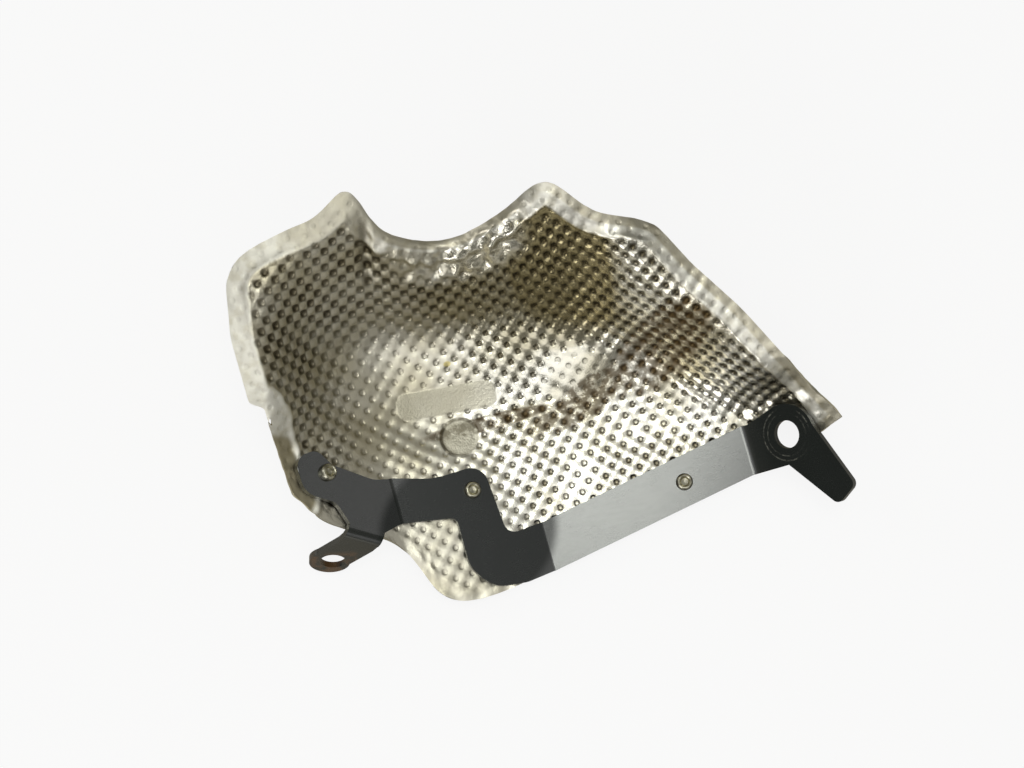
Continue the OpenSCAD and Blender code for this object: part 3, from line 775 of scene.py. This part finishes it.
zinc = Finish("zinc_plate")
plating = zinc.blend(zinc.clouds(2, 3).rises(0.4, 0.65), ZINC, ZINC_DULL)
zinc.set(Base_Color=plating, Metallic=1.0, Roughness=0.24 + zinc.clouds(1.5)*0.15,
         Normal=zinc.bump(zinc.clouds(0.6, 2), 0.03, 0.5))
for node in ("rivet_left", "rivet_knee", "rivet_strap"):
    zinc.on(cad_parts[node])

# %% The pale ground
# For glossy rays the ground glows brown, a painted reflection: BROWN_NEAR near the part is its painted
# shadow, BROWN_FAR further off.
SEEN_WHITE, MIRRORED_BROWN = 0.86, 0.85
BROWN_NEAR, BROWN_FAR = (0.17, 0.148, 0.10), (0.60, 0.58, 0.50)

pale = Finish("pale_ground")
pale.set(Base_Color=(0.93, 0.93, 0.93), Roughness=0.9)
white = pale.add("Emission", {}, {"Color": (1.0, 1.0, 1.0), "Strength": 1.0})
from_part = pale.add("VectorMath", {"operation": "DISTANCE"},
                     {0: pale.place(), 1: (0, 0, 0)}, "Value")
mirrored_with_shadow = pale.blend(from_part.rises(100, 240), BROWN_NEAR, BROWN_FAR)
brown = pale.add("Emission", {}, {"Color": mirrored_with_shadow, "Strength": 1.0})
seen = pale.add("LightPath", {}, {}, "Is Camera Ray")*SEEN_WHITE
mirrored = pale.add("LightPath", {}, {}, "Is Glossy Ray")*MIRRORED_BROWN
first = pale.add("MixShader", {}, {0: seen, 1: Number(pale, pale.shader.outputs[0]), 2: white})
both = pale.add("MixShader", {}, {0: mirrored, 1: first, 2: brown})
pale.feed(pale.tree.nodes["Material Output"].inputs["Surface"], both)
pale.on(ground)

# %% [markdown]
# ## The light
# What a wall of the bowl shows is what it mirrors, so the panels stand where the photograph needs
# light. The strap mirrors the one overhead, the left plate the right side of the room, and the walls
# what is in front.

# %% Soft light
def soft_lamp(name, place, size, radiance, tint=(1, 1, 1)):
    """A panel of a plain radiance, aimed at the part; 1 is as bright as white paper."""
    lamp = bpy.data.objects.new(name, bpy.data.lights.new(name, "AREA"))
    bpy.context.scene.collection.objects.link(lamp)
    lamp.data.shape = "RECTANGLE"
    lamp.data.size, lamp.data.size_y = size
    lamp.data.energy = radiance*math.pi*size[0]*size[1]
    lamp.data.color = tint
    lamp.location = place
    away = Vector(place) - at_datum(10, 0, 20)
    lamp.rotation_euler = away.to_track_quat("Z", "Y").to_euler()
    print("lamp", name, "at", place)


soft_lamp("overhead", (-0.01, 0.17, 1.6), (0.46, 0.46), 5.1, tint=(0.97, 1.0, 0.92))
soft_lamp("window", (-1.2, 1.0, 1.1), (0.6, 0.6), 2.0)
soft_lamp("front", (-0.18, -0.75, 1.3), (1.1, 0.6), 0.95)
soft_lamp("low front", (0.22, -1.4, 0.3), (0.85, 0.34), 0.5)
soft_lamp("right", (1.2, -0.3, 0.72), (1.4, 0.5), 0.48)
soft_lamp("left", (-1.15, -0.9, 0.62), (1.0, 0.55), 3.4)

# %% A room that is darker below than above
ROOM_STEPS = ((0.0, (0.10, 0.098, 0.086)), (0.45, (0.13, 0.1274, 0.1118)),
              (0.8, (0.22, 0.2156, 0.1892)), (1.0, (1, 1, 1)))

world = bpy.data.worlds.new("room")
bpy.context.scene.world = world
world.use_nodes = True
nodes, links = world.node_tree.nodes, world.node_tree.links
direction = nodes.new("ShaderNodeTexCoord")
split = nodes.new("ShaderNodeSeparateXYZ")
ramp = nodes.new("ShaderNodeValToRGB")
for at, _ in ROOM_STEPS[1:-1]:
    ramp.color_ramp.elements.new(at)
for stop, (_, colour) in zip(ramp.color_ramp.elements, ROOM_STEPS):
    stop.color = (*colour, 1)
links.new(direction.outputs["Generated"], split.inputs[0])
links.new(split.outputs["Z"], ramp.inputs["Fac"])
links.new(ramp.outputs["Color"], nodes["Background"].inputs["Color"])
print("room steps", [round(stop.position, 2) for stop in ramp.color_ramp.elements])
